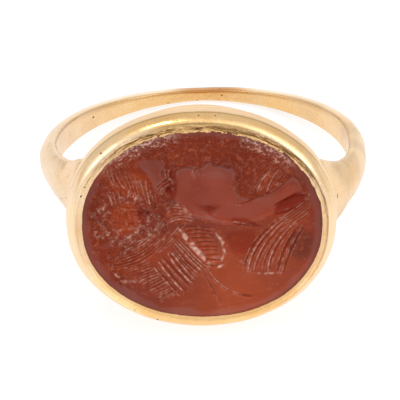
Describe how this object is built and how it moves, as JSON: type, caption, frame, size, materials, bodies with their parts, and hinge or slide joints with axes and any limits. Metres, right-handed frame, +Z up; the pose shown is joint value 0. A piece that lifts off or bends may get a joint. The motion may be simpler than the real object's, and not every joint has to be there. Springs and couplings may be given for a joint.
{
  "type": "finger ring with engraved stone",
  "caption": "Gold finger ring with a slender hoop, flared shoulders and a closed oval bezel that holds an engraved red-brown stone under a rubbed-over lip.",
  "frame": {"origin": "centre of the bounding box at the level that the ring lies on", "axes": "+Z up as the ring lies on a table, +X along the bezel's long axis, -Y towards the side that the bezel faces, tipped back"},
  "size_m": [0.0216, 0.0226, 0.0145],
  "materials": {
    "gold": "soft polish with fine wear",
    "bezel_gold": "burnished, softly hammered lip",
    "bedding": "dull resin filling",
    "carnelian": "polished face with matt wheel cuts"
  },
  "bodies": {
    "root": {"hoop": "gold", "bezel_wall": "bezel_gold", "back_plate": "gold", "bearing_ledge": "gold", "stone_bedding": "bedding", "engraved_stone": "carnelian"}
  },
  "joints": []
}
